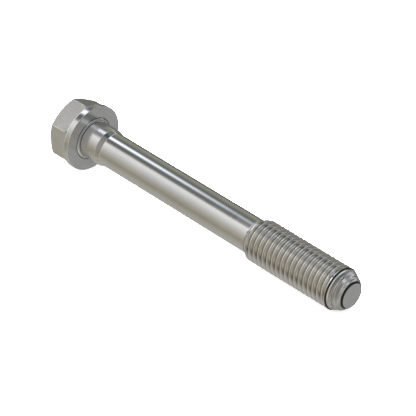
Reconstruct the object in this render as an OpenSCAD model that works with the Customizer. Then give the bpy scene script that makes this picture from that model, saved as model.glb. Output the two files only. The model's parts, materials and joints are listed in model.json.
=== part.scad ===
/* [Head] */
// Width across the flats of the hexagon
across_flats = 20; // [18:0.5:20]
// Height of the head above its bearing face
head_h = 10.5; // [7:0.5:14]
// Diameter of the circle where the corner bevels start, on top and at the flange
bevel_circle_d = 19.7; // [17:0.1:19.9]
// Slope of the corner bevels against the flat top
bevel_angle = 30; // [15:1:35]
// Diameter of the round flange that bears on the clamped part
flange_d = 23.4; // [23.2:0.1:30]
// Thickness of the flange
flange_t = 2.4; // [1.5:0.1:3.5]
// Edge break on the flange rim and round the top of the head
edge_break = 0.12; // [0.05:0.01:0.3]
// Turn of the hexagon about the screw's axis, from one corner straight up
hexagon_turn = 2; // [0:1:59]

/* [Neck] */
// Diameter of the fitted collar under the head
collar_d = 13.3; // [12.5:0.1:15]
// Distance from the bearing face to the end of the collar
collar_end = 7.6; // [4:0.1:20]
// Length of the cone between the collar and the shank
neck_cone_l = 1.85; // [0.5:0.05:6]
// Diameter at which the root cone of the collar leaves the bearing face
root_cone_d = 15.06; // [14:0.02:17]
// Height of that root cone
root_cone_h = 0.52; // [0.3:0.02:1.5]
// Diameter of the reduced shank
shank_d = 12.05; // [8:0.05:12.4]

/* [Thread] */
// Length from the bearing face to the end face
length = 119; // [100:1:200]
// Major diameter of the thread
thread_d = 15; // [13.5:0.1:15.5]
// Pitch of the thread, right-handed
pitch = 2; // [1.75:0.05:2.25]
// Length of the thread at its full diameter
thread_l = 34.9; // [20:0.1:44]
// Half angle of the cone where the thread starts at the shank
run_in_angle = 30; // [20:1:45]
// Half of the thread's included angle
flank_angle = 30; // [27.5:0.5:32]
// Angle from the floor, about the axis, at which the crest runs into the end of the full thread
crest_end_angle = 200; // [0:5:355]
// Length of the band without a groove round the end of the full thread
end_band_l = 1.8; // [1.6:0.1:2.6]

/* [Tip] */
// Length from the end of the full thread to the end face
lead_l = 5.1; // [3.5:0.1:8]
// Diameter at which the tapered lead starts, just below the full thread
lead_d = 14.1; // [13:0.1:14.4]
// How far the middle of the lead bulges over a straight taper
lead_bulge = 0.38; // [0:0.01:0.5]
// Depth of the thread's groove where it fades out along the lead
lead_groove = 0.3; // [0.1:0.05:0.5]
// Diameter of the flat end face
end_face_d = 8.7; // [6:0.1:9.5]
// Width of the chamfer round the end face
end_chamfer = 0.55; // [0.2:0.05:0.8]

/* [Hidden] */
// Straight facets per turn of the thread
facets_per_turn = 28;
// Short cones that make up the rounded taper of the lead
lead_cones = 6;
// Overlap of solids that are joined, so that no two faces coincide
overlap = 0.5;
// How far the uncut helix stands out of the blank that trims it, on the lead
lead_cover = 0.1;
// Share of the pitch that is flat on the crest
crest_share = 1 / 8;
// Depth of the thread as a share of its pitch
depth_share = 0.6134;

bevel_r = bevel_circle_d / 2;
corner_r = across_flats / 2 / cos(30);
flange_r = flange_d / 2;
collar_r = collar_d / 2;
shank_r = shank_d / 2;
thread_r = thread_d / 2;
thread_depth = depth_share * pitch;
crest_w = crest_share * pitch;
flank_w = thread_depth * tan(flank_angle);
thread_end = length - lead_l;
thread_start = thread_end - thread_l;
run_in_l = (thread_r - shank_r) / tan(run_in_angle);
lead_step = thread_r - lead_d / 2;
lead_start = thread_end + lead_step;
end_r = end_face_d / 2;
foot_r = end_r + end_chamfer;
foot = length - end_chamfer;
steel = [0.66, 0.65, 0.63];

// Middle of the step at the end of the full thread, where the crest runs out
crest_end = thread_end + lead_step / 2;
// The screw lies on the flange rim and on the edge of the band that ends the full thread
rest_tilt = atan((flange_r - thread_r) / (thread_end + edge_break));

// Profile points of one turn of the thread: distance along the axis and radius
turn_profile = [
    [0, thread_r],
    [crest_w, thread_r],
    [crest_w + flank_w, thread_r - thread_depth],
    [pitch - flank_w, thread_r - thread_depth]
];
profile_n = len(turn_profile);

// Whole turns of helix, enough to reach past both ends of the threaded part
turns_before = ceil((thread_l + run_in_l) / pitch) + 2;
turns_after = ceil(lead_l / pitch) + 2;
steps = (turns_before + turns_after) * facets_per_turn;
helix_start = crest_end - crest_w / 2 - pitch * (turns_before + crest_end_angle / 360);
helix_end = helix_start + pitch * (turns_before + turns_after + 1);

// Number of the vertex at a step of the helix and a point of the profile
function vertex(step, point) = step * profile_n + point;

// Radius of the lead's rounded taper at a height on the axis
function lead_r(z) =
    let (share = (z - lead_start) / (foot - lead_start))
    lead_d / 2 + (foot_r - lead_d / 2) * share + lead_bulge * 4 * share * (1 - share);

// Radius of a profile point: no groove in the end band, and on the lead both follow the taper
function thread_point_r(z, r) =
    abs(z - crest_end) < end_band_l / 2 ? thread_r
    : z < lead_start ? r
    : z > foot ? foot_r + lead_cover
    : r == thread_r ? lead_r(z) + lead_cover
    : max(foot_r, min(r, lead_r(z) - lead_groove));

// Place of a vertex of the helix
function helix_point(step, point) =
    let (
        angle = 360 * step / facets_per_turn,
        z = helix_start + pitch * step / facets_per_turn + turn_profile[point][0],
        r = thread_point_r(z, turn_profile[point][1])
    )
    [r * cos(angle), r * sin(angle), z];

// Two triangles for the patch between two steps, from one profile point to the next
function patch(a, b, c, d) = [[a, d, c], [a, c, b]];

// Crest, flanks and root of the thread as one closed helical body on the axis
module thread_body() {
    last = steps;
    low_centre = (steps + 1) * profile_n;
    high_centre = low_centre + 1;
    points = concat(
        [for (s = [0 : steps]) for (p = [0 : profile_n - 1]) helix_point(s, p)],
        [[0, 0, helix_start], [0, 0, helix_end]]
    );
    within_turn = [
        for (s = [0 : steps - 1]) for (p = [0 : profile_n - 2])
            each patch(vertex(s, p), vertex(s + 1, p), vertex(s + 1, p + 1), vertex(s, p + 1))
    ];
    to_next_turn = [
        for (s = [0 : steps - facets_per_turn - 1])
            each patch(
                vertex(s, profile_n - 1),
                vertex(s + 1, profile_n - 1),
                vertex(s + 1 + facets_per_turn, 0),
                vertex(s + facets_per_turn, 0)
            )
    ];
    low_loop = concat(
        [for (s = [0 : facets_per_turn]) vertex(s, 0)],
        [for (p = [profile_n - 1 : -1 : 1]) vertex(0, p)]
    );
    high_loop = concat(
        [for (s = [last - facets_per_turn : last]) vertex(s, profile_n - 1)],
        [for (p = [profile_n - 2 : -1 : 0]) vertex(last, p)]
    );
    low_end = [
        for (i = [0 : len(low_loop) - 1])
            [low_loop[i], low_loop[(i + 1) % len(low_loop)], low_centre]
    ];
    high_end = [
        for (i = [0 : len(high_loop) - 1])
            [high_loop[(i + 1) % len(high_loop)], high_loop[i], high_centre]
    ];
    polyhedron(points = points, faces = concat(within_turn, to_next_turn, low_end, high_end), convexity = 8);
}

// Blank of the threaded part: run-in cone, full diameter, stepped-down lead and chamfered end
module thread_blank() {
    room = 0.05;
    inner_r = shank_r - overlap / 2;
    rotate_extrude($fn = 96)
        polygon([
            [0, thread_start - run_in_l - overlap],
            [inner_r, thread_start - run_in_l - (shank_r - inner_r) / tan(run_in_angle)],
            [thread_r + room, thread_start + room / tan(run_in_angle)],
            [thread_r + room, thread_end - room],
            each [
                for (i = [0 : lead_cones])
                    let (z = lead_start + (foot - lead_start) * i / lead_cones)
                    [lead_r(z), z]
            ],
            [end_r, length],
            [0, length]
        ]);
}

// Threaded end with its lead
module threaded_end() {
    intersection() {
        thread_blank();
        thread_body();
    }
}

// Hexagon with its corners bevelled at the top and at the flange
module hexagon() {
    rise = (corner_r + overlap - bevel_r) * tan(bevel_angle);
    intersection() {
        translate([0, 0, -head_h])
            rotate([0, 0, hexagon_turn])
                cylinder(h = head_h - flange_t / 2, r = corner_r, $fn = 6);
        rotate_extrude($fn = 96)
            polygon([
                [0, -head_h],
                [bevel_r - edge_break, -head_h],
                [bevel_r, -head_h + edge_break * tan(bevel_angle)],
                [bevel_r + rise / tan(bevel_angle), -head_h + edge_break * tan(bevel_angle) + rise],
                [bevel_r + rise / tan(bevel_angle), -flange_t - rise],
                [bevel_r, -flange_t],
                [bevel_r, -flange_t / 2],
                [0, -flange_t / 2]
            ]);
    }
}

// Flange, root cone, collar, cone and reduced shank, turned in one profile
module turned_body() {
    rotate_extrude($fn = 96)
        polygon([
            [0, -flange_t],
            [flange_r - edge_break, -flange_t],
            [flange_r, -flange_t + edge_break],
            [flange_r, -edge_break],
            [flange_r - edge_break, 0],
            [root_cone_d / 2, 0],
            [collar_r, root_cone_h],
            [collar_r, collar_end],
            [shank_r, collar_end + neck_cone_l],
            [shank_r, thread_start + overlap],
            [0, thread_start + overlap]
        ]);
}

// The whole screw, laid down with its tip towards +X
module cap_screw() {
    color(steel)
        rotate([0, 90 + rest_tilt, 0]) {
            hexagon();
            turned_body();
            threaded_end();
        }
}

cap_screw();
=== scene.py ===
"""Cap screw with a flange, a fitted collar, a reduced shank and a threaded end, on a pale floor."""

import json
import logging
import math
from collections.abc import Callable
from dataclasses import dataclass, field
from enum import Enum
from itertools import pairwise
from typing import Any

import bmesh
import bpy
from mathutils import Matrix, Vector

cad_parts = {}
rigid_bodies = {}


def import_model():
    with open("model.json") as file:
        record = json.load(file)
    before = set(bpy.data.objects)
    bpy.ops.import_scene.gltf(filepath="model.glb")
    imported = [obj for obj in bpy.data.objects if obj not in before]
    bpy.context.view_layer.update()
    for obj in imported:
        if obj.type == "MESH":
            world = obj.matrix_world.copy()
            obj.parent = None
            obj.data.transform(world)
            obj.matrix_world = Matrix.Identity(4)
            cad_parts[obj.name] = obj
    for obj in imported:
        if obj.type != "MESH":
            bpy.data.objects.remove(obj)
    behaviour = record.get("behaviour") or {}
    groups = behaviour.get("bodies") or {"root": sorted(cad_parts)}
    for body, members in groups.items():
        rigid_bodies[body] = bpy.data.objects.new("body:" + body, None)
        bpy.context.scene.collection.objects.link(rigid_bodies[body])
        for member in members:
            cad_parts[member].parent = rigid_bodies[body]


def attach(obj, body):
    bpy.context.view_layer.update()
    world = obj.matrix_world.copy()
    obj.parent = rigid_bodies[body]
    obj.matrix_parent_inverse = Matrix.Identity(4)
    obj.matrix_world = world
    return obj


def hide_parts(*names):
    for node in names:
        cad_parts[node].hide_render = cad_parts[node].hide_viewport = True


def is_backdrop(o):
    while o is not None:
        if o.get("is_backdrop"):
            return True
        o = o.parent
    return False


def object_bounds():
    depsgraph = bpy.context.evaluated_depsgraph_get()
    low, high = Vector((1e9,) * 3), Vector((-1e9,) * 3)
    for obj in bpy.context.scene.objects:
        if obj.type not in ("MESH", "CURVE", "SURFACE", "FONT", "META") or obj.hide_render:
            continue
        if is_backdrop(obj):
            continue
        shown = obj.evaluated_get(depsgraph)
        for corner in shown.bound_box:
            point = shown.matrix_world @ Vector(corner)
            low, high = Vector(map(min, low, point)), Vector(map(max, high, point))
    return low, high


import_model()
CAD_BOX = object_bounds()

LOG = logging.getLogger("cap_screw")
MM = 0.001
WELD = 0.0005 * MM
# Scale of a pattern along a tool mark, per millimetre: it hardly changes from end to end of a mark
ALONG_A_MARK = 0.08


def linear(hex_colour: str, gain: float = 1.0) -> tuple[float, float, float, float]:
    """Turns an sRGB hex colour into linear RGBA.

    Args:
        hex_colour: Colour such as "#c8c8c4".
        gain: Factor on the linear values.

    Returns:
        Red, green, blue and an alpha of one.
    """
    channels = [int(hex_colour[i : i + 2], 16) / 255 for i in (1, 3, 5)]
    flat = [c / 12.92 if c <= 0.04045 else ((c + 0.055) / 1.055) ** 2.4 for c in channels]
    return (flat[0] * gain, flat[1] * gain, flat[2] * gain, 1.0)


def add_node(
    tree: bpy.types.NodeTree,
    kind: str,
    settings: dict[str | int, Any] | None = None,
    links: dict[str | int, bpy.types.NodeSocket] | None = None,
) -> bpy.types.Node:
    """Adds a node with its settings and its incoming links.

    Args:
        tree: Node tree of a material or of the world.
        kind: Blender's name of the node type.
        settings: Properties and input values, by name or by input number.
        links: Output sockets to join to this node's inputs.

    Returns:
        The new node.
    """
    node = tree.nodes.new(kind)
    for name, value in (settings or {}).items():
        if isinstance(name, str) and hasattr(node, name):
            setattr(node, name, value)
        else:
            node.inputs[name].default_value = value
    for name, source in (links or {}).items():
        tree.links.new(source, node.inputs[name])
    return node


class Joining(Enum):
    """How one solid is worked into another."""

    FUSE = "UNION"
    TRIM = "INTERSECT"


class Marks(Enum):
    """How the tool marks of a finish run over the steel."""

    ROUND_THE_AXIS = "round the axis"
    ON_A_TURNED_FACE = "rings on a face square to the axis"
    PRESSED = "pressed grain with no direction"


@dataclass(frozen=True)
class Corner:
    """Corner of a turning profile, in millimetres.

    Attributes:
        radius: Distance from the axis.
        height: Place along the axis.
        rounding: Radius of the rounding at this corner, or zero for a sharp one.
    """

    radius: float
    height: float
    rounding: float = 0.0


class Workbench:
    """The modelling steps of the screw, in object and edit mode."""

    @staticmethod
    def pick(*pieces: bpy.types.Object) -> None:
        """Makes these the only selected objects and the first one active."""
        bpy.ops.object.select_all(action="DESELECT")
        for piece in pieces:
            piece.select_set(True)
        bpy.context.view_layer.objects.active = pieces[0]

    @staticmethod
    def settle(piece: bpy.types.Object) -> None:
        """Moves the object's place, turn and scale into its mesh."""
        Workbench.pick(piece)
        bpy.ops.object.transform_apply(location=True, rotation=True, scale=True)

    @staticmethod
    def apply_all(piece: bpy.types.Object) -> None:
        """Applies every modifier of a piece."""
        Workbench.pick(piece)
        for modifier in list(piece.modifiers):
            bpy.ops.object.modifier_apply(modifier=modifier.name)

    @staticmethod
    def weld(piece: bpy.types.Object) -> None:
        """Merges doubles and turns the faces outwards."""
        Workbench.pick(piece)
        bpy.ops.object.mode_set(mode="EDIT")
        bpy.ops.mesh.select_all(action="SELECT")
        bpy.ops.mesh.remove_doubles(threshold=WELD)
        bpy.ops.mesh.normals_make_consistent(inside=False)
        bpy.ops.object.mode_set(mode="OBJECT")

    @staticmethod
    def trace(name: str, points: list[Vector]) -> bpy.types.Object:
        """Draws a chain of edges by extruding one vertex from point to point.

        Args:
            name: Name of the new object.
            points: Points of the chain, in metres.

        Returns:
            An object that holds only the chain.
        """
        bpy.ops.object.select_all(action="DESELECT")
        bpy.ops.mesh.primitive_plane_add(size=MM, location=points[0])
        piece = bpy.context.active_object
        piece.name = name
        bpy.ops.object.mode_set(mode="EDIT")
        bpy.ops.mesh.select_mode(type="VERT")
        bpy.ops.mesh.select_all(action="SELECT")
        bpy.ops.mesh.merge(type="CENTER")
        for start, end in pairwise(points):
            bpy.ops.mesh.extrude_region_move(TRANSFORM_OT_translate={"value": end - start})
        bpy.ops.object.mode_set(mode="OBJECT")
        Workbench.settle(piece)
        return piece

    @staticmethod
    def rounded(corners: list[Corner], arc_steps: int = 4) -> list[Vector]:
        """Rounds the corners of a turning profile.

        Args:
            corners: Corners in order, in millimetres.
            arc_steps: Straight pieces in each rounding.

        Returns:
            Points of the profile in the XZ plane, in metres.
        """
        places = [Vector((c.radius, 0.0, c.height)) for c in corners]
        points: list[Vector] = []
        for i, corner in enumerate(corners):
            if corner.rounding <= 0 or i in (0, len(corners) - 1):
                points.append(places[i] * MM)
                continue
            back = (places[i - 1] - places[i]).normalized()
            ahead = (places[i + 1] - places[i]).normalized()
            half = back.angle(ahead) / 2
            middle = places[i] + (back + ahead).normalized() * corner.rounding / math.sin(half)
            reach = corner.rounding / math.tan(half)
            first = places[i] + back * reach - middle
            last = places[i] + ahead * reach - middle
            for step in range(arc_steps + 1):
                spoke = first.slerp(last, step / arc_steps).normalized() * corner.rounding
                points.append((middle + spoke) * MM)
        return points

    @staticmethod
    def lathe(name: str, corners: list[Corner], steps: int) -> bpy.types.Object:
        """Spins a turning profile round the axis into a closed solid.

        Args:
            name: Name of the new object.
            corners: Profile from one point on the axis to another.
            steps: Facets round the axis.

        Returns:
            The turned solid on the Z axis.
        """
        piece = Workbench.trace(name, Workbench.rounded(corners))
        bpy.ops.object.mode_set(mode="EDIT")
        bpy.ops.mesh.select_all(action="SELECT")
        bpy.ops.mesh.spin(steps=steps, angle=math.tau, center=(0, 0, 0), axis=(0, 0, 1))
        bpy.ops.object.mode_set(mode="OBJECT")
        Workbench.weld(piece)
        return piece

    @staticmethod
    def combine(piece: bpy.types.Object, tool: bpy.types.Object, how: Joining) -> None:
        """Fuses a piece with a tool solid or trims it by that solid, which is used up."""
        modifier = piece.modifiers.new(how.name.lower(), "BOOLEAN")
        modifier.operation = how.value
        modifier.solver = "EXACT"
        modifier.object = tool
        Workbench.apply_all(piece)
        bpy.data.objects.remove(tool, do_unlink=True)


@dataclass(frozen=True)
class SteelFinish:
    """One way in which the bare steel of the screw was worked; the thread's finish and the dark
    rings' finish also carry painted shade.

    Attributes:
        name: Name of the material.
        colour: sRGB hex colour of the steel.
        stain_and_shade: sRGB hex colour of its darker patches, and on the thread also of its
            painted shade at the root.
        roughness: Roughness where the marks are shallow.
        roughness_spread: How much rougher the deep marks are.
        marks: How the tool marks run.
        mark_mm: Spacing of the marks in millimetres.
        mark_depth_mm: Depth of the marks in millimetres.
        patch_mm: Size of the darker patches in millimetres.
        root_shade_mm: Radii between which painted shade darkens the steel towards the root, inner
            one first, or none.
    """

    name: str
    colour: str
    stain_and_shade: str
    roughness: float
    roughness_spread: float
    marks: Marks
    mark_mm: float
    mark_depth_mm: float
    patch_mm: float
    root_shade_mm: tuple[float, float] | None = None

    def radius(
        self, tree: bpy.types.NodeTree, on_axis: bpy.types.NodeSocket
    ) -> bpy.types.NodeSocket:
        """Measures the distance from the screw's axis.

        Args:
            tree: Node tree of the material.
            on_axis: Place in millimetres, with Z along the screw.

        Returns:
            Distance in millimetres.
        """
        flat = add_node(
            tree, "ShaderNodeVectorMath", {"operation": "MULTIPLY", 1: (1, 1, 0)}, {0: on_axis}
        )
        return add_node(
            tree, "ShaderNodeVectorMath", {"operation": "LENGTH"}, {0: flat.outputs[0]}
        ).outputs["Value"]

    def along_marks(
        self, tree: bpy.types.NodeTree, on_axis: bpy.types.NodeSocket
    ) -> bpy.types.NodeSocket:
        """Stretches the pattern along the tool marks.

        Args:
            tree: Node tree of the material.
            on_axis: Place in millimetres, with Z along the screw.

        Returns:
            Coordinates in which one unit is one mark.
        """
        per_mm = 1.0 / self.mark_mm
        if self.marks is Marks.PRESSED:
            return add_node(
                tree, "ShaderNodeVectorMath", {"operation": "SCALE", "Scale": per_mm}, {0: on_axis}
            ).outputs[0]
        if self.marks is Marks.ROUND_THE_AXIS:
            return add_node(
                tree,
                "ShaderNodeVectorMath",
                {"operation": "MULTIPLY", 1: (ALONG_A_MARK, ALONG_A_MARK, per_mm)},
                {0: on_axis},
            ).outputs[0]
        rings = add_node(
            tree,
            "ShaderNodeMath",
            {"operation": "MULTIPLY", 1: per_mm},
            {0: self.radius(tree, on_axis)},
        )
        drift = add_node(
            tree,
            "ShaderNodeVectorMath",
            {"operation": "MULTIPLY", 1: (ALONG_A_MARK, ALONG_A_MARK, 0.5)},
            {0: on_axis},
        )
        lifted = add_node(tree, "ShaderNodeCombineXYZ", {}, {"Z": rings.outputs[0]})
        return add_node(
            tree,
            "ShaderNodeVectorMath",
            {"operation": "ADD"},
            {0: drift.outputs[0], 1: lifted.outputs[0]},
        ).outputs[0]

    def painted_root_shade(
        self, tree: bpy.types.NodeTree, on_axis: bpy.types.NodeSocket, patches: bpy.types.NodeSocket
    ) -> bpy.types.NodeSocket:
        """Adds painted shade that darkens the steel deep in a groove, towards its root.

        Args:
            tree: Node tree of the material.
            on_axis: Place in millimetres, with Z along the screw.
            patches: Share of the darker patches outside the groove.

        Returns:
            Share of the darker colour, with the painted shade full at the inner radius.
        """
        inner, outer = self.root_shade_mm
        deep = add_node(
            tree,
            "ShaderNodeMapRange",
            {"From Min": outer, "From Max": inner},
            {"Value": self.radius(tree, on_axis)},
        )
        return add_node(
            tree,
            "ShaderNodeMath",
            {"operation": "MULTIPLY_ADD", "use_clamp": True, 1: 0.2},
            {0: patches, 2: deep.outputs[0]},
        ).outputs[0]

    def build(self, axis_turn: float) -> bpy.types.Material:
        """Makes the material.

        Args:
            axis_turn: Turn about Y that laid the screw's axis down, in radians.

        Returns:
            A metal whose marks follow the screw's axis.
        """
        material = bpy.data.materials.new(self.name)
        material.use_nodes = True
        tree = material.node_tree
        tree.nodes.clear()
        place = add_node(tree, "ShaderNodeTexCoord")
        on_axis = add_node(
            tree,
            "ShaderNodeMapping",
            {"Rotation": (0.0, -axis_turn, 0.0), "Scale": (1 / MM, 1 / MM, 1 / MM)},
            {"Vector": place.outputs["Object"]},
        ).outputs[0]
        marks = add_node(
            tree,
            "ShaderNodeTexNoise",
            {"Scale": 1.0, "Detail": 3.0, "Roughness": 0.6},
            {"Vector": self.along_marks(tree, on_axis)},
        )
        patches = add_node(
            tree,
            "ShaderNodeTexNoise",
            {"Scale": 1.0 / self.patch_mm, "Detail": 4.0, "Roughness": 0.55},
            {"Vector": on_axis},
        )
        blend = add_node(
            tree,
            "ShaderNodeMapRange",
            {"From Min": 0.35, "From Max": 0.75},
            {"Value": patches.outputs["Fac"]},
        )
        share = blend.outputs[0]
        # Painted shade: the colour darkens towards the root of the thread's groove
        if self.root_shade_mm:
            share = self.painted_root_shade(tree, on_axis, share)
        colour = add_node(
            tree,
            "ShaderNodeMix",
            {"data_type": "RGBA", 6: linear(self.colour), 7: linear(self.stain_and_shade)},
            {0: share},
        )
        gloss = add_node(
            tree,
            "ShaderNodeMapRange",
            {
                "From Min": 0.3,
                "From Max": 0.7,
                "To Min": self.roughness,
                "To Max": self.roughness + self.roughness_spread,
            },
            {"Value": marks.outputs["Fac"]},
        )
        relief = add_node(
            tree,
            "ShaderNodeBump",
            {"Strength": 1.0, "Distance": self.mark_depth_mm * MM},
            {"Height": marks.outputs["Fac"]},
        )
        shader = add_node(
            tree,
            "ShaderNodeBsdfPrincipled",
            {"Metallic": 1.0},
            {
                "Base Color": colour.outputs[2],
                "Roughness": gloss.outputs[0],
                "Normal": relief.outputs[0],
            },
        )
        add_node(tree, "ShaderNodeOutputMaterial", {}, {"Surface": shader.outputs[0]})
        return material


# Centreless-ground steel: mirror bright, with hair-fine rings that only soften reflected edges
GROUND_STEEL = SteelFinish(
    "ground_steel_shank", "#cbcbca", "#c4c4c2", 0.06, 0.03, Marks.ROUND_THE_AXIS, 0.35, 0.0003, 9.0
)
# Turned steel: the cutter leaves fine rings, so flat faces look evenly grey and satin
TURNED_STEEL = SteelFinish(
    "turned_steel_faces", "#c9c9c8", "#bfbfbd", 0.18, 0.08, Marks.ON_A_TURNED_FACE, 0.4, 0.001, 6.0
)
# Cold-rolled thread: lightest on the crests, with random darker patches and painted shade that
# darkens it to the root
ROLLED_STEEL = SteelFinish(
    "rolled_steel_thread",
    "#cfcdc8",
    "#a8a59f",
    0.06,
    0.05,
    Marks.ROUND_THE_AXIS,
    0.3,
    0.0004,
    3.0,
    (6.4, 7.45),
)
# Cold-formed head: pressed in a die and tumbled, so it is satin with a faint even grain
FORMED_STEEL = SteelFinish(
    "cold_formed_steel_hexagon", "#cbcac7", "#c2c0bc", 0.20, 0.05, Marks.PRESSED, 0.9, 0.0004, 5.0
)
# Fine-turned collar: satin rings round it, so the mirrored flange fades softly into the bright side
SATIN_STEEL = SteelFinish(
    "fine_turned_steel_collar",
    "#cbcbca",
    "#c2c1bf",
    0.15,
    0.06,
    Marks.ROUND_THE_AXIS,
    0.25,
    0.0005,
    4.0,
)
# Lead: its steel colour is a shade darker than the thread's
LEAD_STEEL = SteelFinish(
    "darker_steel_lead", "#b4b4b2", "#a9a8a5", 0.17, 0.06, Marks.ROUND_THE_AXIS, 0.3, 0.0006, 4.0
)
# Painted dark reflection and shade: near-black steel on the 45 degree step and the end chamfer,
# which mirror dark surroundings, and in the hair lines, where shade falls, so that they show as
# dark rings
PAINTED_DARK_REFLECTION = SteelFinish(
    "painted_dark_rings", "#35332f", "#2a2927", 0.35, 0.10, Marks.ROUND_THE_AXIS, 0.2, 0.0005, 2.0
)


@dataclass
class HexHead:
    """Hexagon with its corners bevelled on top and at the flange.

    Attributes:
        across_flats: Width across the flats, in millimetres as all sizes here.
        height: Height above the bearing face.
        bevel_circle: Diameter where the corner bevels start.
        bevel_angle: Slope of the bevels in degrees.
        corner_rounding: Radius of the six upright edges.
        edge_rounding: Rounding where the bevels meet the flats and the flat top.
        turn: Turn of one corner from straight up, in degrees.
        sunk: Depth to which the hexagon reaches into the flange.
        flange_t: Thickness of the flange.
    """

    across_flats: float = 20.0
    height: float = 10.5
    bevel_circle: float = 19.7
    bevel_angle: float = 30.0
    corner_rounding: float = 0.25
    edge_rounding: float = 0.1
    turn: float = 2.0
    sunk: float = 1.2
    flange_t: float = 2.4

    @property
    def corner_radius(self) -> float:
        """Distance from the axis to a sharp corner of the hexagon."""
        return self.across_flats / 2 / math.cos(math.radians(30))

    def upright_edges(self, mesh: bmesh.types.BMesh) -> None:
        """Selects the six corner edges of the hexagon and nothing else."""
        for face in mesh.faces:
            face.select = False
        for edge in mesh.edges:
            low, high = sorted(v.co.z for v in edge.verts)
            edge.select = high - low > self.height * 0.5 * MM
        mesh.select_flush_mode()

    def prism(self) -> bpy.types.Object:
        """Cuts the hexagonal bar, with its corners rounded."""
        tall = self.height - self.sunk
        bpy.ops.object.select_all(action="DESELECT")
        bpy.ops.mesh.primitive_cylinder_add(
            vertices=6,
            radius=self.corner_radius * MM,
            depth=tall * MM,
            location=(0, 0, (tall / 2 - self.height) * MM),
            rotation=(0, 0, math.radians(30 + self.turn)),
        )
        bar = bpy.context.active_object
        bar.name = "hexagonal_head"
        Workbench.settle(bar)
        bpy.ops.object.mode_set(mode="EDIT")
        bpy.ops.mesh.select_mode(type="EDGE")
        mesh = bmesh.from_edit_mesh(bar.data)
        self.upright_edges(mesh)
        bmesh.update_edit_mesh(bar.data)
        bpy.ops.mesh.bevel(offset=self.corner_rounding * MM, segments=3, affect="EDGES")
        bpy.ops.object.mode_set(mode="OBJECT")
        return bar

    def build(self) -> bpy.types.Object:
        """Trims the bar by the turned envelope and breaks its edges.

        Returns:
            The closed head, on the axis.
        """
        start, clearance = self.bevel_circle / 2, 1.0
        wide = self.corner_radius + clearance
        rise = (wide - start) * math.tan(math.radians(self.bevel_angle))
        envelope = Workbench.lathe(
            "head_envelope",
            [
                Corner(0, -self.height),
                Corner(start, -self.height, self.edge_rounding),
                Corner(wide, -self.height + rise),
                Corner(wide, -self.flange_t - rise),
                Corner(start, -self.flange_t),
                Corner(start, -self.sunk),
                Corner(0, -self.sunk),
            ],
            steps=192,
        )
        head = self.prism()
        Workbench.combine(head, envelope, Joining.TRIM)
        edges = head.modifiers.new("edge_break", "BEVEL")
        edges.width = self.edge_rounding * MM
        edges.segments = 2
        edges.limit_method = "ANGLE"
        edges.angle_limit = math.radians(20)
        Workbench.apply_all(head)
        Workbench.weld(head)
        LOG.info("head: hexagon %.1f mm across the flats", self.across_flats)
        return head


@dataclass
class TurnedBody:
    """Flange, root ring, collar, cone and reduced shank, turned in one.

    Attributes:
        flange_d: Diameter of the flange, in millimetres as all sizes here.
        flange_t: Thickness of the flange.
        rim_rounding: Rounding of the flange rim at the bearing face.
        back_rounding: Rounding of the rim on the side of the hexagon.
        collar_d: Diameter of the fitted collar.
        collar_end: Distance from the bearing face to the end of the collar.
        collar_rounding: Rounding at the end of the collar.
        cone_l: Length of the cone down to the shank.
        cone_rounding: Rounding where that cone meets the shank.
        root_cone_d: Diameter at which the root cone leaves the bearing face.
        root_cone_h: Height of the root cone.
        line_w: Width of the hair lines that the cutter left at both ends of the root cone.
        outer_line_depth: Depth of the one in the bearing face.
        inner_line_depth: Depth of the one in the collar.
        shank_d: Diameter of the reduced shank.
        shank_end: Distance from the bearing face to where the shank ends inside the thread.
    """

    flange_d: float = 23.4
    flange_t: float = 2.4
    rim_rounding: float = 0.15
    back_rounding: float = 0.45
    collar_d: float = 13.3
    collar_end: float = 7.6
    collar_rounding: float = 0.3
    cone_l: float = 1.85
    cone_rounding: float = 0.5
    root_cone_d: float = 15.06
    root_cone_h: float = 0.52
    line_w: float = 0.26
    outer_line_depth: float = 0.078
    inner_line_depth: float = 0.039
    shank_d: float = 12.05
    shank_end: float = 79.5

    def hair_line(self, radius: float, height: float) -> list[Corner]:
        """Makes the corners of a fine line that is cut in where two faces meet.

        Args:
            radius: Radius at which the faces meet.
            height: Height at which they meet.

        Returns:
            Three corners: edge, bottom and edge of the line.
        """
        half = self.line_w / 2
        slope = math.atan2(self.root_cone_h, (self.root_cone_d - self.collar_d) / 2)
        along_cone = (half * math.cos(slope), half * math.sin(slope))
        if height > 0:
            return [
                Corner(radius + along_cone[0] / 2, height - along_cone[1] / 2),
                Corner(radius - self.inner_line_depth, height),
                Corner(radius, height + half / 2),
            ]
        return [
            Corner(radius + half, height),
            Corner(radius, height - self.outer_line_depth),
            Corner(radius - along_cone[0], height + along_cone[1]),
        ]

    def in_hair_line(self, height: float, radius: float) -> bool:
        """Says whether a point of the surface lies in one of the two hair lines."""
        reach = self.line_w * 0.6
        outer = abs(radius - self.root_cone_d / 2) < reach and abs(height) < reach
        inner = abs(radius - self.collar_d / 2) < reach and abs(height - self.root_cone_h) < reach
        return outer or inner

    def build(self) -> bpy.types.Object:
        """Turns the body.

        Returns:
            The closed body, on the axis.
        """
        flange, collar, shank = self.flange_d / 2, self.collar_d / 2, self.shank_d / 2
        body = Workbench.lathe(
            "turned_body",
            [
                Corner(0, -self.flange_t),
                Corner(flange, -self.flange_t, self.back_rounding),
                Corner(flange, 0, self.rim_rounding),
                *self.hair_line(self.root_cone_d / 2, 0),
                *self.hair_line(collar, self.root_cone_h),
                Corner(collar, self.collar_end, self.collar_rounding),
                Corner(shank, self.collar_end + self.cone_l, self.cone_rounding),
                Corner(shank, self.shank_end),
                Corner(0, self.shank_end),
            ],
            steps=144,
        )
        LOG.info("body: shank %.2f mm thick", self.shank_d)
        return body


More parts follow.
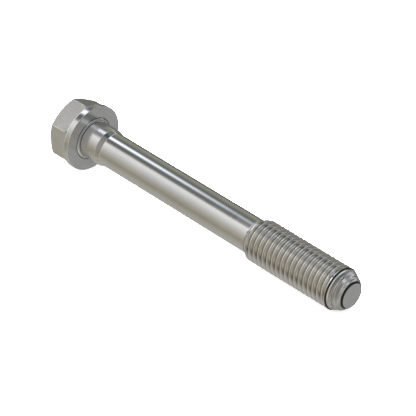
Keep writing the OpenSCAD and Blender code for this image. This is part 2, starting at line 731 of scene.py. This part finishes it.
@dataclass
class ThreadedEnd:
    """Rolled right-hand thread with its run-in cone, stepped lead and chamfered end.

    Attributes:
        diameter: Major diameter, in millimetres as all sizes here.
        pitch: Pitch of the thread.
        depth_share: Depth of the thread as a share of its pitch.
        crest_share: Share of the pitch that is flat on the crest.
        crest_rounding: Rounding of the crest's two edges.
        root_rounding: Rounding of the root.
        length: Distance from the bearing face to the end face.
        full_l: Length of the thread at its full diameter.
        shank_d: Diameter of the shank from which the thread rises.
        run_in_angle: Half angle of the cone at the start, in degrees.
        run_in_rounding: Rounding where that cone meets the full diameter.
        flank_angle: Half of the included angle, in degrees.
        crest_end_angle: Angle at which the crest runs into the step, in degrees.
        end_band_l: Length of the band without a groove round the end of the full thread.
        step_rounding: Rounding at the foot of the step to the lead.
        lead_l: Length from the full thread to the end face.
        lead_d: Diameter at which the lead starts.
        lead_bulge: How far the lead bulges over a straight taper.
        lead_groove: Depth of the groove where it fades out along the lead.
        wave: How far the soft rings on the lead, one to each pitch, rise and sink at its foot.
        wave_start: Share of that with which the rings start.
        wave_phase: Pitches from the end face to where a ring starts.
        end_face_d: Diameter of the end face.
        end_chamfer: Width of the chamfer round it.
        end_rounding: Rounding of that chamfer's edges.
        spare_turns: Turns of helix past either end of the blank.
        steps: Facets per turn of the helix.
    """

    diameter: float = 15.0
    pitch: float = 2.0
    depth_share: float = 0.6134
    crest_share: float = 1 / 8
    crest_rounding: float = 0.04
    root_rounding: float = 0.22
    length: float = 119.0
    full_l: float = 34.9
    shank_d: float = 12.05
    run_in_angle: float = 30.0
    run_in_rounding: float = 0.3
    flank_angle: float = 30.0
    crest_end_angle: float = 200.0
    end_band_l: float = 1.8
    step_rounding: float = 0.05
    lead_l: float = 5.1
    lead_d: float = 14.1
    lead_bulge: float = 0.38
    lead_groove: float = 0.3
    wave: float = 0.14
    wave_start: float = 0.35
    wave_phase: float = 1.25
    end_face_d: float = 8.7
    end_chamfer: float = 0.55
    end_rounding: float = 0.08
    spare_turns: int = 2
    steps: int = 96

    @property
    def end(self) -> float:
        """Where the full thread ends."""
        return self.length - self.lead_l

    @property
    def step_w(self) -> float:
        """Width of the 45 degree step at the end of the full thread."""
        return (self.diameter - self.lead_d) / 2

    @property
    def depth(self) -> float:
        """Depth of the thread."""
        return self.depth_share * self.pitch

    @property
    def foot(self) -> tuple[float, float]:
        """Radius and height at which the lead meets the end chamfer."""
        return self.end_face_d / 2 + self.end_chamfer, self.length - self.end_chamfer

    def lead_r(self, height: float) -> float:
        """Radius of the lead's rounded taper at a height."""
        start = self.end + self.step_w
        foot_r, foot = self.foot
        share = (height - start) / (foot - start)
        straight = self.lead_d / 2 + (foot_r - self.lead_d / 2) * share
        turn = math.tau * (height - self.length + self.pitch * self.wave_phase) / self.pitch
        rise = self.wave * (self.wave_start + (1 - self.wave_start) * share) * math.sin(turn)
        return straight + self.lead_bulge * 4 * share * (1 - share) + rise

    def ridge(self) -> list[Vector]:
        """Profile of one pitch: rounded crest, flanks and rounded root.

        Returns:
            Points from the start of the crest to the start of the next one, in metres.
        """
        crest, root = self.diameter / 2, self.diameter / 2 - self.depth
        flank = self.depth * math.tan(math.radians(self.flank_angle))
        flat = self.pitch * self.crest_share
        start = self.crest_start
        quarters = [i / 4 for i in (1, 2, 3)]
        down = [Corner(crest - self.depth * q, start + flat + flank * q) for q in quarters]
        up = [Corner(c.radius, 2 * start + flat + self.pitch - c.height) for c in reversed(down)]
        corners = [
            Corner(crest, start + flat / 2),
            Corner(crest, start + flat, self.crest_rounding),
            *down,
            Corner(root, start + flat + flank, self.root_rounding),
            Corner(root, start + self.pitch - flank, self.root_rounding),
            *up,
            Corner(crest, start + self.pitch, self.crest_rounding),
            Corner(crest, start + self.pitch + flat / 2),
        ]
        return Workbench.rounded(corners, arc_steps=3)

    @property
    def turns_before(self) -> int:
        """Whole turns of helix before the end of the full thread."""
        run_in = (self.diameter - self.shank_d) / 2 / math.tan(math.radians(self.run_in_angle))
        return math.ceil((self.full_l + run_in) / self.pitch) + self.spare_turns

    @property
    def turns_after(self) -> int:
        """Whole turns of helix along the lead."""
        return math.ceil(self.lead_l / self.pitch) + self.spare_turns

    @property
    def crest_start(self) -> float:
        """Where the crest starts at angle zero on the first turn."""
        crest_end = self.end + self.step_w / 2
        turns = self.turns_before + self.crest_end_angle / 360
        return crest_end - self.pitch * self.crest_share / 2 - self.pitch * turns

    def on_lead(self, height: float, radius: float) -> float:
        """Says where a point of the endless thread comes to lie near the tip.

        Args:
            height: Its place along the axis.
            radius: Its radius on the full thread.

        Returns:
            Its radius: filled up in the end band, drawn in with the taper on the lead.
        """
        root, crest = self.diameter / 2 - self.depth, self.diameter / 2
        cover, fade = 0.1, 0.35
        drawn = radius
        if height > self.end + self.step_w:
            foot_r, foot = self.foot
            limit = self.lead_r(min(height, foot))
            low = max(foot_r, min(root, limit - self.lead_groove))
            drawn = low + (limit + cover - low) * (radius - root) / (crest - root)
        away = abs(height - self.end - self.step_w / 2)
        lift = min(1.0, max(0.0, 1.0 - (away - self.end_band_l / 3) / fade))
        return drawn + (crest - drawn) * lift

    def follow_lead(self, piece: bpy.types.Object) -> None:
        """Fills the groove up in the end band and lets it fade out along the lead."""
        mesh = bmesh.new()
        mesh.from_mesh(piece.data)
        for vertex in mesh.verts:
            height, radius = vertex.co.z / MM, vertex.co.xy.length / MM
            if height > self.end - self.end_band_l and radius > self.shank_d / 4:
                vertex.co.xy *= self.on_lead(height, radius) / radius
        mesh.to_mesh(piece.data)
        mesh.free()

    def rolled(self) -> bpy.types.Object:
        """Winds the ridge into a closed helical body."""
        body = Workbench.trace("threaded_end", self.ridge())
        winding = body.modifiers.new("winding", "SCREW")
        winding.axis = "Z"
        winding.angle = math.tau
        winding.screw_offset = self.pitch * MM
        winding.iterations = self.turns_before + self.turns_after
        winding.steps = winding.render_steps = self.steps
        winding.use_normal_calculate = True
        Workbench.apply_all(body)
        Workbench.weld(body)
        bpy.ops.object.mode_set(mode="EDIT")
        low = self.crest_start + 2 * self.pitch
        high = self.crest_start + (self.turns_before + self.turns_after - 1) * self.pitch
        for height, side in ((low, 1), (high, -1)):
            bpy.ops.mesh.select_all(action="SELECT")
            bpy.ops.mesh.bisect(
                plane_co=(0, 0, height * MM),
                plane_no=(0, 0, side),
                use_fill=True,
                clear_inner=True,
                threshold=1e-7,
            )
        bpy.ops.object.mode_set(mode="OBJECT")
        Workbench.weld(body)
        self.follow_lead(body)
        return body

    def blank(self) -> bpy.types.Object:
        """Turns the envelope of the threaded end."""
        shank, crest = self.shank_d / 2, self.diameter / 2
        slope = math.tan(math.radians(self.run_in_angle))
        start = self.end - self.full_l
        overlap, room, cones = 0.25, 0.05, 24
        inner = shank - overlap
        foot_r, foot = self.foot
        lead_start = self.end + self.step_w
        lead = [lead_start + (foot - lead_start) * i / cones for i in range(1, cones)]
        return Workbench.lathe(
            "thread_blank",
            [
                Corner(0, start - (crest - inner) / slope),
                Corner(inner, start - (crest - inner) / slope),
                Corner(crest + room, start + room / slope, self.run_in_rounding),
                Corner(crest + room, self.end - room),
                Corner(self.lead_d / 2, lead_start, self.step_rounding),
                *[Corner(self.lead_r(height), height) for height in lead],
                Corner(foot_r, foot, self.end_rounding),
                Corner(self.end_face_d / 2, self.length, self.end_rounding),
                Corner(0, self.length),
            ],
            steps=144,
        )

    def build(self) -> bpy.types.Object:
        """Rolls the thread and trims it by its blank.

        Returns:
            The closed threaded end, on the axis.
        """
        body = self.rolled()
        Workbench.combine(body, self.blank(), Joining.TRIM)
        LOG.info("thread: %.0f by %.1f mm", self.diameter, self.pitch)
        return body


@dataclass
class CapScrew:
    """The whole screw, laid down as it comes to rest.

    Attributes:
        head: Its hexagon.
        body: Its turned part.
        thread: Its threaded end.
        finishes: Its finishes, one for each material slot.
        edge_break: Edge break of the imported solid, past which the screw rests on its thread.
        run_in_l: Length of the thread's run-in, where the rolled finish starts.
    """

    head: HexHead = field(default_factory=HexHead)
    body: TurnedBody = field(default_factory=TurnedBody)
    thread: ThreadedEnd = field(default_factory=ThreadedEnd)
    finishes: tuple[SteelFinish, ...] = (
        GROUND_STEEL,
        TURNED_STEEL,
        ROLLED_STEEL,
        FORMED_STEEL,
        SATIN_STEEL,
        LEAD_STEEL,
        PAINTED_DARK_REFLECTION,
    )
    edge_break: float = 0.12
    run_in_l: float = 2.6

    @property
    def axis_turn(self) -> float:
        """Turn about Y that lays the axis down on rim and thread, in radians."""
        drop = (self.body.flange_d - self.thread.diameter) / 2
        return math.radians(90) + math.atan(drop / (self.thread.end + self.edge_break))

    def region(self, centre: Vector, normal: Vector) -> SteelFinish:
        """Says which finish a face has.

        Args:
            centre: Middle of the face, in metres, with the axis along Z.
            normal: Its normal.

        Returns:
            Its finish.
        """
        height, radius = centre.z / MM, centre.xy.length / MM
        thread, body = self.thread, self.body
        slanted, square = 0.5 < normal.z < 0.9, abs(normal.z) > 0.9
        # The small margins here keep a face that touches a limit on its own side of it
        on_step = -0.05 < height - thread.end < thread.step_w + 0.05
        on_chamfer = height > thread.foot[1] - 0.02
        # Painted dark reflection and shade: the 45 degree step, the end chamfer and the hair lines
        # get near-black steel
        painted_dark_face = slanted and (on_step or on_chamfer)
        if painted_dark_face or body.in_hair_line(height, radius):
            return PAINTED_DARK_REFLECTION
        if height < -body.flange_t - 0.01:
            return FORMED_STEEL
        if height < 0.02:
            return GROUND_STEEL if abs(normal.z) < 0.5 else TURNED_STEEL
        if height < body.collar_end - 0.01:
            return SATIN_STEEL
        if square:
            return TURNED_STEEL
        if height > thread.end:
            return LEAD_STEEL
        rolled_from = thread.end - thread.full_l - self.run_in_l
        if height > rolled_from and radius > body.shank_d / 2 + 0.005:
            return ROLLED_STEEL
        return GROUND_STEEL

    def dress(self, screw: bpy.types.Object) -> None:
        """Gives every face its finish and smooth normals."""
        for finish in self.finishes:
            screw.data.materials.append(finish.build(self.axis_turn))
        for face in screw.data.polygons:
            face.material_index = self.finishes.index(self.region(face.center, face.normal))
        Workbench.pick(screw)
        bpy.ops.object.shade_smooth_by_angle(angle=math.radians(28))

    def build(self) -> None:
        """Joins the three parts and lays the screw down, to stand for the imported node."""
        screw = self.body.build()
        screw.name = "flanged_cap_screw"
        Workbench.combine(screw, self.head.build(), Joining.FUSE)
        Workbench.combine(screw, self.thread.build(), Joining.FUSE)
        Workbench.weld(screw)
        screw.data.materials.clear()
        self.dress(screw)
        screw.matrix_world = Matrix.Rotation(self.axis_turn, 4, "Y")
        Workbench.settle(screw)
        even = screw.modifiers.new("even_normals", "WEIGHTED_NORMAL")
        even.keep_sharp = True
        even.weight = 80
        Workbench.apply_all(screw)
        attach(screw, "root")
        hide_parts("cap_screw")
        LOG.info("screw: %d faces", len(screw.data.polygons))


class Tint(Enum):
    """Colours of the surroundings that the steel mirrors."""

    NEUTRAL = "#ffffff"
    COOL = "#eff6ff"
    WARM = "#fffaee"
    OLIVE = "#fff8e3"
    MOSS = "#feffe8"
    GREEN = "#ddffec"


@dataclass(frozen=True)
class Glow:
    """Brightness of the surroundings in one direction round the screw.

    Attributes:
        angle: Direction round the X axis in degrees: 0 towards the front, 90 straight up.
        level: Radiance.
        tint: Colour.
    """

    angle: float
    level: float
    tint: Tint = Tint.NEUTRAL


@dataclass(frozen=True)
class Ring:
    """Ring of surroundings that stands round the screw at one place along it.

    The levels of all rings were worked out and tuned so that the brightness that the steel mirrors
    comes close to the one measured on the steel in the photo.

    Attributes:
        along: Direction along the X axis: -1 beyond the head, 1 beyond the tip.
        glows: Glows in order of their angle, from -180 to 180 degrees.
    """

    along: float
    glows: tuple[Glow, ...]

    @classmethod
    def of(cls, along: float, *glows: Glow) -> "Ring":
        """Makes a ring from its direction and any number of glows."""
        return cls(along, glows)

    @classmethod
    def with_strip(cls, along: float, strip: float) -> "Ring":
        """Makes a ring with the big front softbox and the narrow strip light overhead.

        Args:
            along: Direction along the X axis.
            strip: Radiance of the strip light.

        Returns:
            The ring.
        """
        dark = 0.2
        return cls.of(
            along,
            Glow(-180, dark),
            Glow(-150, 0.22),
            Glow(-130, 0.38),
            Glow(-100, 0.52),
            Glow(-73, 0.6, Tint.WARM),
            Glow(-54, 0.57, Tint.WARM),
            Glow(-38, 0.5, Tint.OLIVE),
            Glow(-23, 0.44, Tint.OLIVE),
            Glow(-10, 0.53, Tint.OLIVE),
            Glow(8, 0.65, Tint.WARM),
            Glow(30, 0.88),
            Glow(49, 1.16),
            Glow(63, 1.14),
            Glow(70, 0.46),
            Glow(78, 0.21),
            Glow(90, dark),
            Glow(96, dark + strip * 0.25, Tint.COOL),
            Glow(102, strip, Tint.COOL),
            Glow(111, strip, Tint.COOL),
            Glow(117, dark + strip * 0.2, Tint.COOL),
            Glow(125, 0.22, Tint.COOL),
            Glow(140, 0.32, Tint.MOSS),
            Glow(162, 0.46, Tint.MOSS),
            Glow(180, dark),
        )


# From beyond the head to beyond the tip
RINGS = (
    Ring.of(-0.87, Glow(-180, 0.5), Glow(-60, 0.7), Glow(0, 1.6), Glow(120, 2.0), Glow(180, 1.2)),
    Ring.with_strip(-0.7, 2.3),
    Ring.with_strip(-0.575, 2.3),
    Ring.with_strip(-0.53, 0.55),
    Ring.of(
        -0.505,
        Glow(-180, 0.3),
        Glow(-100, 0.6),
        Glow(-73, 0.75, Tint.WARM),
        Glow(-38, 0.72, Tint.OLIVE),
        Glow(-10, 0.75, Tint.OLIVE),
        Glow(8, 0.85, Tint.WARM),
        Glow(30, 1.25),
        Glow(49, 1.7),
        Glow(62, 2.6),
        Glow(76, 1.5),
        Glow(90, 1.0, Tint.COOL),
        Glow(98, 1.2, Tint.COOL),
        Glow(110, 0.9, Tint.COOL),
        Glow(120, 0.45, Tint.COOL),
        Glow(140, 0.35),
        Glow(160, 0.44, Tint.MOSS),
        Glow(180, 0.25),
    ),
    Ring.of(
        -0.33,
        Glow(-180, 0.3),
        Glow(-90, 0.55),
        Glow(-60, 0.6, Tint.WARM),
        Glow(-35, 1.3, Tint.WARM),
        Glow(-15, 1.6, Tint.WARM),
        Glow(12, 1.3, Tint.WARM),
        Glow(43, 1.2),
        Glow(62, 1.2),
        Glow(76, 1.0),
        Glow(93, 1.4, Tint.COOL),
        Glow(111, 2.2, Tint.COOL),
        Glow(130, 2.3, Tint.COOL),
        Glow(148, 1.6),
        Glow(158, 0.3),
        Glow(180, 0.25),
    ),
    Ring.of(
        -0.16,
        Glow(-180, 0.3),
        Glow(-100, 0.56),
        Glow(-73, 0.52, Tint.WARM),
        Glow(-54, 0.47, Tint.OLIVE),
        Glow(-10, 0.37, Tint.OLIVE),
        Glow(26, 0.39, Tint.WARM),
        Glow(61, 0.46, Tint.WARM),
        Glow(73, 0.38),
        Glow(84, 0.24),
        Glow(94, 0.08, Tint.GREEN),
        Glow(101, 0.15, Tint.GREEN),
        Glow(110, 0.32, Tint.GREEN),
        Glow(118, 0.26, Tint.GREEN),
        Glow(128, 0.2),
        Glow(150, 0.22),
        Glow(180, 0.3),
    ),
    Ring.of(
        0.09,
        Glow(-180, 0.35),
        Glow(-90, 0.55, Tint.WARM),
        Glow(-55, 0.85, Tint.WARM),
        Glow(-30, 0.75, Tint.WARM),
        Glow(-12, 0.46, Tint.WARM),
        Glow(43, 0.46, Tint.WARM),
        Glow(84, 0.3),
        Glow(96, 0.12, Tint.GREEN),
        Glow(104, 0.16, Tint.GREEN),
        Glow(116, 0.3),
        Glow(130, 0.9, Tint.COOL),
        Glow(150, 1.6, Tint.COOL),
        Glow(180, 1.6),
    ),
    Ring.of(
        0.45,
        Glow(-180, 0.34),
        Glow(-130, 0.52),
        Glow(-90, 0.64),
        Glow(-60, 1.0, Tint.WARM),
        Glow(-30, 1.0, Tint.WARM),
        Glow(0, 0.88, Tint.WARM),
        Glow(43, 1.0),
        Glow(80, 0.92),
        Glow(100, 0.85),
        Glow(120, 0.62),
        Glow(145, 0.34),
        Glow(180, 0.3),
    ),
    Ring.of(
        0.75,
        Glow(-180, 0.36),
        Glow(-100, 0.52),
        Glow(43, 0.5),
        Glow(90, 0.42),
        Glow(101, 1.9, Tint.COOL),
        Glow(112, 1.9, Tint.COOL),
        Glow(122, 0.38),
        Glow(180, 0.36),
    ),
    Ring.of(0.92, Glow(-180, 0.34), Glow(43, 0.35), Glow(180, 0.34)),
)


@dataclass
class Studio:
    """Pale floor, the surroundings that the steel mirrors and the lamp that lights the floor.

    Attributes:
        floor_size: Side of the floor, in metres.
        floor_glow: Light that comes through the opal floor from below.
        brightest: Radiance that the ramps' full white stands for.
        rings: Surroundings, from beyond the head to beyond the tip.
    """

    floor_size: float = 12.0
    floor_glow: float = 0.7
    brightest: float = 2.4
    rings: tuple[Ring, ...] = RINGS

    def ramp(
        self, tree: bpy.types.NodeTree, turn: bpy.types.NodeSocket, glows: tuple[Glow, ...]
    ) -> bpy.types.NodeSocket:
        """Lays a row of glows round the screw.

        Args:
            tree: Node tree of the world.
            turn: Direction round the X axis, from 0 to 1.
            glows: Glows in order of their angle.

        Returns:
            Colour socket of the ramp.
        """
        node = add_node(tree, "ShaderNodeValToRGB", {}, {"Fac": turn})
        stops = node.color_ramp.elements
        while len(stops) > 1:
            stops.remove(stops[-1])
        for i, glow in enumerate(glows):
            place = (glow.angle + 180) / 360
            stop = stops[0] if i == 0 else stops.new(place)
            stop.position = place
            stop.color = linear(glow.tint.value, glow.level / self.brightest)
        return node.outputs["Color"]

    def surroundings(self) -> None:
        """Makes the world that lights the scene and that the steel mirrors."""
        world = bpy.data.worlds.new("soft_studio")
        bpy.context.scene.world = world
        world.use_nodes = True
        tree = world.node_tree
        tree.nodes.clear()
        way = add_node(tree, "ShaderNodeTexCoord")
        parts = add_node(tree, "ShaderNodeSeparateXYZ", {}, {0: way.outputs["Generated"]})
        front = add_node(
            tree, "ShaderNodeMath", {"operation": "MULTIPLY", 1: -1.0}, {0: parts.outputs["Y"]}
        )
        angle = add_node(
            tree,
            "ShaderNodeMath",
            {"operation": "ARCTAN2"},
            {0: parts.outputs["Z"], 1: front.outputs[0]},
        )
        turn = add_node(
            tree,
            "ShaderNodeMapRange",
            {"From Min": -math.pi, "From Max": math.pi},
            {"Value": angle.outputs[0]},
        ).outputs[0]
        colour = self.ramp(tree, turn, self.rings[0].glows)
        for nearer, ring in pairwise(self.rings):
            side = add_node(
                tree,
                "ShaderNodeMapRange",
                {"From Min": nearer.along, "From Max": ring.along},
                {"Value": parts.outputs["X"]},
            )
            colour = add_node(
                tree,
                "ShaderNodeMix",
                {"data_type": "RGBA"},
                {0: side.outputs[0], 6: colour, 7: self.ramp(tree, turn, ring.glows)},
            ).outputs[2]
        glow = add_node(
            tree, "ShaderNodeBackground", {"Strength": self.brightest}, {"Color": colour}
        )
        add_node(tree, "ShaderNodeOutputWorld", {}, {"Surface": glow.outputs[0]})

    def floor(self, height: float) -> None:
        """Lays the floor, which glows and which the steel doesn't mirror.

        Args:
            height: Height of the lowest point of the screw, in metres.
        """
        bpy.ops.object.select_all(action="DESELECT")
        bpy.ops.mesh.primitive_plane_add(size=self.floor_size, location=(0, 0, height))
        floor = bpy.context.active_object
        floor.name = "studio_floor"
        material = bpy.data.materials.new("opal_acrylic_table")
        material.use_nodes = True
        shader = material.node_tree.nodes["Principled BSDF"]
        shader.inputs["Base Color"].default_value = linear("#f4f4f3")
        shader.inputs["Roughness"].default_value = 0.9
        shader.inputs["Emission Color"].default_value = linear("#ffffff")
        shader.inputs["Emission Strength"].default_value = self.floor_glow
        floor.data.materials.append(material)
        floor.visible_glossy = False
        floor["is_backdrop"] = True

    def lamp(self) -> None:
        """Hangs the wide soft lamp over the floor; the steel doesn't mirror it."""
        data = bpy.data.lights.new("floor_wash", "AREA")
        data.shape = "SQUARE"
        data.size = 3.0
        data.energy = 420.0
        lamp = bpy.data.objects.new("floor_wash", data)
        bpy.context.scene.collection.objects.link(lamp)
        lamp.location = (0.0, 0.0, 2.2)
        lamp.visible_glossy = False

    def build(self) -> None:
        """Sets the floor, the lamp and the surroundings up."""
        self.floor(CAD_BOX[0].z)
        self.lamp()
        self.surroundings()
        bpy.context.scene.view_settings.view_transform = "Standard"
        LOG.info("studio: floor at %.2f mm", CAD_BOX[0].z / MM)


@dataclass
class PhotoCamera:
    """Camera at the photo's viewing angle.

    Attributes:
        place: Where it stands, in metres.
        ahead: Level direction in which it looks.
        drop: How far it looks down, in degrees.
        lens: Focal length on a 36 mm sensor.
    """

    place: tuple[float, float, float] = (0.66684, -0.60386, 0.57496)
    ahead: tuple[float, float] = (-0.7120, 0.7022)
    drop: float = 33.857
    lens: float = 276.15

    def build(self) -> None:
        """Sets the camera up."""
        level = Vector((*self.ahead, 0)).normalized()
        down = math.radians(self.drop)
        sight = level * math.cos(down) - Vector((0, 0, 1)) * math.sin(down)
        data = bpy.data.cameras.new("photo_camera")
        data.sensor_width = 36.0
        data.lens = self.lens
        data.clip_start = 0.05
        data.clip_end = 50.0
        camera = bpy.data.objects.new("photo_camera", data)
        bpy.context.scene.collection.objects.link(camera)
        camera.location = self.place
        camera.rotation_mode = "QUATERNION"
        camera.rotation_quaternion = sight.to_track_quat("-Z", "Y")
        bpy.context.scene.camera = camera
        LOG.info("camera: looks down by %.1f degrees", self.drop)


def write_sizes(read_box: Callable[[], tuple[Vector, Vector]]) -> None:
    """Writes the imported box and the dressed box, as plain lists.

    Args:
        read_box: Gives the lowest and highest corner of what is shown.
    """
    low, high = read_box()


def main() -> None:
    """Builds the screw, the studio and the camera, in that order."""
    logging.basicConfig(level=logging.INFO, format="%(name)s %(message)s")
    CapScrew().build()
    Studio().build()
    PhotoCamera().build()
    write_sizes(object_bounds)


if __name__ == "__main__":
    main()
